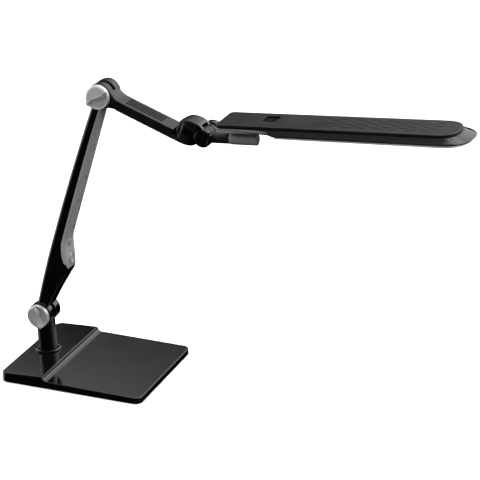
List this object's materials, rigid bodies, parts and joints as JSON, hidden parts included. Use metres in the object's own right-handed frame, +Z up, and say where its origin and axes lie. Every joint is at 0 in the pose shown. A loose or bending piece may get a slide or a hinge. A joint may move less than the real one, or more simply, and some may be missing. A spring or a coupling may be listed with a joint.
{
  "type": "folding desk lamp",
  "caption": "Desk lamp with a weighted stepped base, two clamped arms and a long flat light head on a wrist that swivels, tilts and rolls.",
  "frame": {"origin": "on the table under the middle of the base", "axes": "+Z up, +X from the post's end of the base towards the light head, +Y away from the side that carries the two clamp knobs"},
  "size_m": [0.6008, 0.173, 0.4003],
  "materials": {
    "black_gloss": "gloss",
    "black_satin": "satin",
    "silver_paint": "satin metallic paint",
    "silver_metal": "satin",
    "steel": "plain",
    "zinc": "zinc plated",
    "brass": "turned",
    "nylon": "matt",
    "foam": "matt",
    "board_green": "satin",
    "board_white": "satin",
    "frost": "frosted",
    "pale_trim": "satin",
    "emitter": "satin",
    "dark_part": "satin"
  },
  "bodies": {
    "base": {"base_shell": "black_gloss", "base_weight": "steel", "base_bottom": "black_satin", "base_pad": "foam", "base_screws": "zinc", "swivel_bush": "nylon", "post_collar": "black_gloss", "power_inlet": "dark_part"},
    "post": {"post": "black_gloss", "post_washer": "steel", "post_nut": "zinc", "lower_bolt": "zinc", "lower_bolt_cap": "black_gloss"},
    "lower_clamp": {"lower_knob": "silver_paint", "lower_knob_nut": "brass"},
    "lower_arm": {"lower_washers": "nylon", "lower_bar": "steel", "lower_arm_shell": "black_gloss", "front_panel": "silver_paint", "panel_screws": "zinc", "control_board": "board_green", "tact_switches": "dark_part", "elbow_washers": "nylon"},
    "power_key": {"power_button": "silver_paint"},
    "mode_key": {"mode_button": "silver_paint"},
    "upper_arm": {"upper_arm_body": "black_satin", "upper_arm_bottom": "black_satin", "upper_arm_screws": "zinc", "driver_board": "board_green", "elbow_bolt": "zinc", "elbow_bolt_cap": "black_gloss", "swivel_bolt": "zinc", "swivel_nut": "zinc", "swivel_washer": "nylon"},
    "elbow_clamp": {"elbow_knob": "silver_paint", "elbow_knob_nut": "brass"},
    "wrist": {"knuckle": "black_gloss", "knuckle_cap": "black_satin", "tilt_axle": "zinc", "tilt_caps": "black_gloss"},
    "shaft": {"roll_shaft": "black_gloss", "tilt_washers": "nylon", "roll_washer": "steel", "roll_screw": "zinc"},
    "head": {"head_bracket": "silver_metal", "sleeve_cap": "silver_metal", "head_cover": "black_satin", "head_housing": "black_gloss", "head_bezel": "pale_trim", "diffuser": "frost", "reflector": "frost", "led_board": "board_white", "leds": "emitter", "heat_plate": "board_white", "switch_body": "dark_part", "head_screws": "zinc"},
    "slider": {"slide_knob": "dark_part"}
  },
  "joints": [
    {"name": "post_swivel", "type": "hinge", "parent": "base", "child": "post", "pos_m": [-0.072, 0, 0.01437], "axis": [-0.0489, 0, 0.9988], "range_deg": [-120, 120]},
    {"name": "lower_hinge", "type": "hinge", "parent": "post", "child": "lower_arm", "pos_m": [-0.07607, 0, 0.06894], "axis": [0, 1, 0], "range_deg": [-40, 55]},
    {"name": "lower_knob_turn", "type": "hinge", "parent": "post", "child": "lower_clamp", "pos_m": [-0.07607, 0, 0.06894], "axis": [0, 1, 0], "range_deg": [-90, 90]},
    {"name": "elbow_hinge", "type": "hinge", "parent": "lower_arm", "child": "upper_arm", "pos_m": [0.02088, 0, 0.38406], "axis": [0, 1, 0], "range_deg": [-85, 30]},
    {"name": "elbow_knob_turn", "type": "hinge", "parent": "upper_arm", "child": "elbow_clamp", "pos_m": [0.02088, 0, 0.38406], "axis": [0, 1, 0], "range_deg": [-90, 90]},
    {"name": "wrist_swivel", "type": "hinge", "parent": "upper_arm", "child": "wrist", "pos_m": [0.13374, 0, 0.34186], "axis": [0.3502, 0, 0.9367], "range_deg": [-75, 75]},
    {"name": "head_tilt", "type": "hinge", "parent": "wrist", "child": "shaft", "pos_m": [0.16006, 0, 0.3443], "axis": [0, 1, 0], "range_deg": [-60, 60]},
    {"name": "head_roll", "type": "hinge", "parent": "shaft", "child": "head", "pos_m": [0.19214, 0, 0.34439], "axis": [0.9974, 0, 0.0715], "range_deg": [-80, 80]},
    {"name": "power_button_press", "type": "slide", "parent": "lower_arm", "child": "power_key", "axis": [-0.9981, 0, -0.0609], "range_m": [0, 0.0008], "stiffness_N_per_m": 250, "springref_m": -0.001},
    {"name": "mode_button_press", "type": "slide", "parent": "lower_arm", "child": "mode_key", "axis": [-0.9999, 0, 0.0144], "range_m": [0, 0.0008], "stiffness_N_per_m": 250, "springref_m": -0.001},
    {"name": "light_switch_slide", "type": "slide", "parent": "head", "child": "slider", "axis": [0.9974, 0, 0.0715], "range_m": [-0.003, 0.003]}
  ]
}
